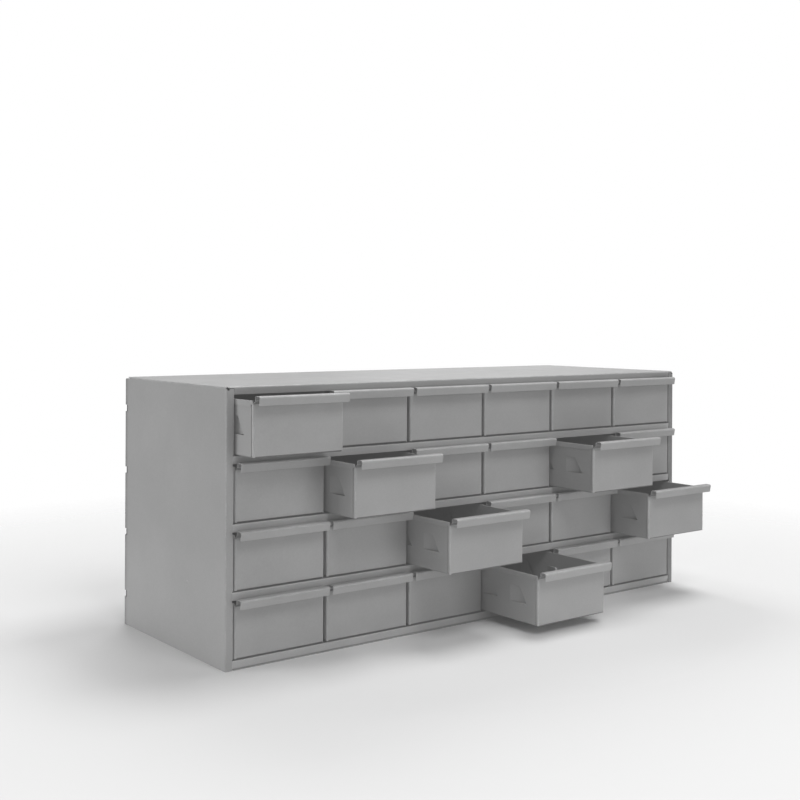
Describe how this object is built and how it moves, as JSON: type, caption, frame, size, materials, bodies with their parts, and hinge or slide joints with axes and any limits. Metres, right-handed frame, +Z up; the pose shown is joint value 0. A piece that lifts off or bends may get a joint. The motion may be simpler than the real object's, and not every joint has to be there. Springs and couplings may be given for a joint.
{
  "type": "parts bin cabinet",
  "caption": "Low sheet-steel cabinet with a grid of small sliding parts drawers, each with a folded full-width handle, in plain grey enamel.",
  "frame": {"origin": "centre of the case's underside, on the surface that it stands on", "axes": "+X along the front to the viewer's right, +Y from the front to the back, +Z up"},
  "size_m": [0.859, 0.4254, 0.357],
  "materials": {
    "case_enamel": "worn satin grey enamel",
    "inner_enamel": "satin grey enamel, thinly sprayed",
    "tray_enamel": "satin grey enamel, rubbed where it slides",
    "front_enamel": "satin grey enamel"
  },
  "bodies": {
    "cabinet": {"case_wrap": "case_enamel", "bottom_panel": "case_enamel", "back_panel": "inner_enamel", "shelf_1": "inner_enamel", "shelf_2": "inner_enamel", "shelf_3": "inner_enamel", "shelf_4": "inner_enamel", "partitions_row_1": "inner_enamel", "partitions_row_2": "inner_enamel", "partitions_row_3": "inner_enamel", "partitions_row_4": "inner_enamel"},
    "drawer_r1c1": {"drawer_r1c1_tray": "tray_enamel", "drawer_r1c1_front": "front_enamel"},
    "drawer_r1c2": {"drawer_r1c2_tray": "tray_enamel", "drawer_r1c2_front": "front_enamel"},
    "drawer_r1c3": {"drawer_r1c3_tray": "tray_enamel", "drawer_r1c3_front": "front_enamel"},
    "drawer_r1c4": {"drawer_r1c4_tray": "tray_enamel", "drawer_r1c4_front": "front_enamel"},
    "drawer_r1c5": {"drawer_r1c5_tray": "tray_enamel", "drawer_r1c5_front": "front_enamel"},
    "drawer_r1c6": {"drawer_r1c6_tray": "tray_enamel", "drawer_r1c6_front": "front_enamel"},
    "drawer_r2c1": {"drawer_r2c1_tray": "tray_enamel", "drawer_r2c1_front": "front_enamel"},
    "drawer_r2c2": {"drawer_r2c2_tray": "tray_enamel", "drawer_r2c2_front": "front_enamel"},
    "drawer_r2c3": {"drawer_r2c3_tray": "tray_enamel", "drawer_r2c3_front": "front_enamel"},
    "drawer_r2c4": {"drawer_r2c4_tray": "tray_enamel", "drawer_r2c4_front": "front_enamel"},
    "drawer_r2c5": {"drawer_r2c5_tray": "tray_enamel", "drawer_r2c5_front": "front_enamel"},
    "drawer_r2c6": {"drawer_r2c6_tray": "tray_enamel", "drawer_r2c6_front": "front_enamel"},
    "drawer_r3c1": {"drawer_r3c1_tray": "tray_enamel", "drawer_r3c1_front": "front_enamel"},
    "drawer_r3c2": {"drawer_r3c2_tray": "tray_enamel", "drawer_r3c2_front": "front_enamel"},
    "drawer_r3c3": {"drawer_r3c3_tray": "tray_enamel", "drawer_r3c3_front": "front_enamel"},
    "drawer_r3c4": {"drawer_r3c4_tray": "tray_enamel", "drawer_r3c4_front": "front_enamel"},
    "drawer_r3c5": {"drawer_r3c5_tray": "tray_enamel", "drawer_r3c5_front": "front_enamel"},
    "drawer_r3c6": {"drawer_r3c6_tray": "tray_enamel", "drawer_r3c6_front": "front_enamel"},
    "drawer_r4c1": {"drawer_r4c1_tray": "tray_enamel", "drawer_r4c1_front": "front_enamel"},
    "drawer_r4c2": {"drawer_r4c2_tray": "tray_enamel", "drawer_r4c2_front": "front_enamel"},
    "drawer_r4c3": {"drawer_r4c3_tray": "tray_enamel", "drawer_r4c3_front": "front_enamel"},
    "drawer_r4c4": {"drawer_r4c4_tray": "tray_enamel", "drawer_r4c4_front": "front_enamel"},
    "drawer_r4c5": {"drawer_r4c5_tray": "tray_enamel", "drawer_r4c5_front": "front_enamel"},
    "drawer_r4c6": {"drawer_r4c6_tray": "tray_enamel", "drawer_r4c6_front": "front_enamel"}
  },
  "joints": [
    {"name": "drawer_r1c1_slide", "type": "slide", "parent": "cabinet", "child": "drawer_r1c1", "axis": [0, -1, 0], "range_m": [-0.0435, 0.1965]},
    {"name": "drawer_r1c2_slide", "type": "slide", "parent": "cabinet", "child": "drawer_r1c2", "axis": [0, -1, 0], "range_m": [0, 0.24]},
    {"name": "drawer_r1c3_slide", "type": "slide", "parent": "cabinet", "child": "drawer_r1c3", "axis": [0, -1, 0], "range_m": [0, 0.24]},
    {"name": "drawer_r1c4_slide", "type": "slide", "parent": "cabinet", "child": "drawer_r1c4", "axis": [0, -1, 0], "range_m": [0, 0.24]},
    {"name": "drawer_r1c5_slide", "type": "slide", "parent": "cabinet", "child": "drawer_r1c5", "axis": [0, -1, 0], "range_m": [0, 0.24]},
    {"name": "drawer_r1c6_slide", "type": "slide", "parent": "cabinet", "child": "drawer_r1c6", "axis": [0, -1, 0], "range_m": [0, 0.24]},
    {"name": "drawer_r2c1_slide", "type": "slide", "parent": "cabinet", "child": "drawer_r2c1", "axis": [0, -1, 0], "range_m": [0, 0.24]},
    {"name": "drawer_r2c2_slide", "type": "slide", "parent": "cabinet", "child": "drawer_r2c2", "axis": [0, -1, 0], "range_m": [-0.0635, 0.1765]},
    {"name": "drawer_r2c3_slide", "type": "slide", "parent": "cabinet", "child": "drawer_r2c3", "axis": [0, -1, 0], "range_m": [0, 0.24]},
    {"name": "drawer_r2c4_slide", "type": "slide", "parent": "cabinet", "child": "drawer_r2c4", "axis": [0, -1, 0], "range_m": [0, 0.24]},
    {"name": "drawer_r2c5_slide", "type": "slide", "parent": "cabinet", "child": "drawer_r2c5", "axis": [0, -1, 0], "range_m": [-0.0865, 0.1535]},
    {"name": "drawer_r2c6_slide", "type": "slide", "parent": "cabinet", "child": "drawer_r2c6", "axis": [0, -1, 0], "range_m": [0, 0.24]},
    {"name": "drawer_r3c1_slide", "type": "slide", "parent": "cabinet", "child": "drawer_r3c1", "axis": [0, -1, 0], "range_m": [0, 0.24]},
    {"name": "drawer_r3c2_slide", "type": "slide", "parent": "cabinet", "child": "drawer_r3c2", "axis": [0, -1, 0], "range_m": [0, 0.24]},
    {"name": "drawer_r3c3_slide", "type": "slide", "parent": "cabinet", "child": "drawer_r3c3", "axis": [0, -1, 0], "range_m": [-0.0875, 0.1525]},
    {"name": "drawer_r3c4_slide", "type": "slide", "parent": "cabinet", "child": "drawer_r3c4", "axis": [0, -1, 0], "range_m": [0, 0.24]},
    {"name": "drawer_r3c5_slide", "type": "slide", "parent": "cabinet", "child": "drawer_r3c5", "axis": [0, -1, 0], "range_m": [0, 0.24]},
    {"name": "drawer_r3c6_slide", "type": "slide", "parent": "cabinet", "child": "drawer_r3c6", "axis": [0, -1, 0], "range_m": [-0.074, 0.166]},
    {"name": "drawer_r4c1_slide", "type": "slide", "parent": "cabinet", "child": "drawer_r4c1", "axis": [0, -1, 0], "range_m": [0, 0.24]},
    {"name": "drawer_r4c2_slide", "type": "slide", "parent": "cabinet", "child": "drawer_r4c2", "axis": [0, -1, 0], "range_m": [0, 0.24]},
    {"name": "drawer_r4c3_slide", "type": "slide", "parent": "cabinet", "child": "drawer_r4c3", "axis": [0, -1, 0], "range_m": [0, 0.24]},
    {"name": "drawer_r4c4_slide", "type": "slide", "parent": "cabinet", "child": "drawer_r4c4", "axis": [0, -1, 0], "range_m": [-0.1135, 0.1265]},
    {"name": "drawer_r4c5_slide", "type": "slide", "parent": "cabinet", "child": "drawer_r4c5", "axis": [0, -1, 0], "range_m": [0, 0.24]},
    {"name": "drawer_r4c6_slide", "type": "slide", "parent": "cabinet", "child": "drawer_r4c6", "axis": [0, -1, 0], "range_m": [0, 0.24]}
  ]
}
